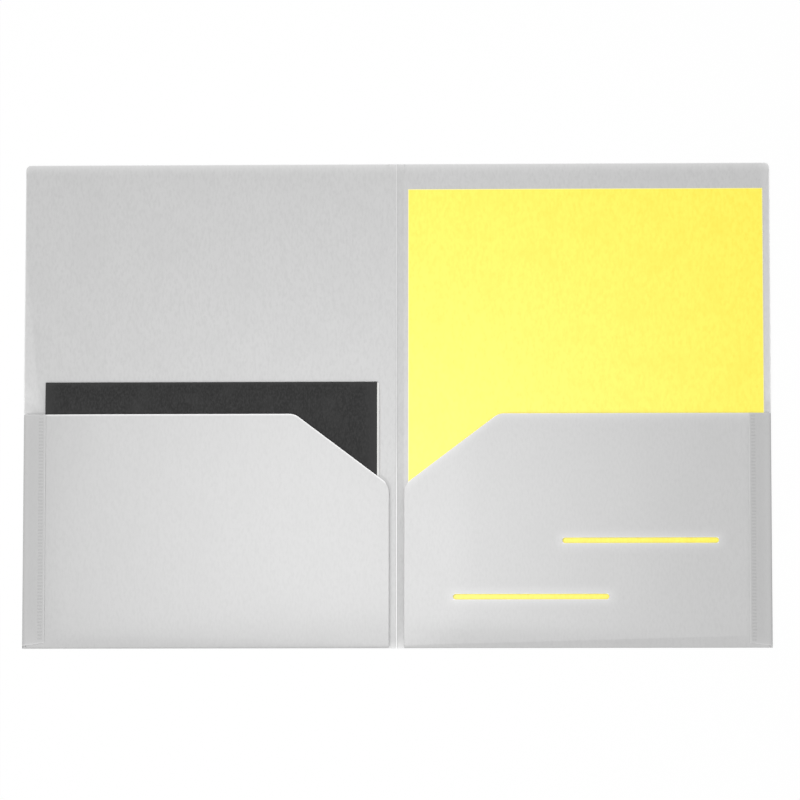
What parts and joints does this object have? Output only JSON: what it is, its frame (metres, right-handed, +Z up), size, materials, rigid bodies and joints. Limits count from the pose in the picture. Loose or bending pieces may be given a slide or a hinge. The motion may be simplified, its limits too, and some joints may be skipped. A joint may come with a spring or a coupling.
{
  "type": "two pocket folder",
  "caption": "Open poly folder that folds shut at its spine crease, with slanted pockets welded at the sides, card slits, and a letter sheet and booklet that slide out.",
  "frame": {"origin": "under the middle of the spine crease, on the surface that the open folder lies on", "axes": "+X from the left cover to the right cover, +Y from the pockets' foot to the top edge, +Z up off the table"},
  "size_m": [0.454, 0.296, 0.0036],
  "materials": {
    "grey_poly": "fine matte poly sheet",
    "yellow_paper": "uncoated card stock",
    "black_card": "matte black card",
    "white_paper": "uncoated paper"
  },
  "bodies": {
    "left_half": {"left_cover": "grey_poly", "left_bottom_fold": "grey_poly", "left_pocket": "grey_poly", "left_side_fold": "grey_poly", "left_side_tab": "grey_poly", "spine_strip": "grey_poly"},
    "right_half": {"right_cover": "grey_poly", "right_bottom_fold": "grey_poly", "right_pocket": "grey_poly", "right_side_fold": "grey_poly", "right_side_tab": "grey_poly"},
    "letter": {"letter_sheet": "yellow_paper"},
    "booklet": {"booklet_cover": "black_card", "booklet_pages": "white_paper"}
  },
  "joints": [
    {"name": "spine_fold", "type": "hinge", "parent": "left_half", "child": "right_half", "pos_m": [0, 0, 0.0031], "axis": [0, -1, 0], "range_deg": [0, 180], "deforming": ["spine_strip"]},
    {"name": "letter_slide", "type": "slide", "parent": "right_half", "child": "letter", "axis": [0, 1, 0], "range_m": [0, 0.145]},
    {"name": "booklet_slide", "type": "slide", "parent": "left_half", "child": "booklet", "axis": [0, 1, 0], "range_m": [0, 0.145]}
  ]
}
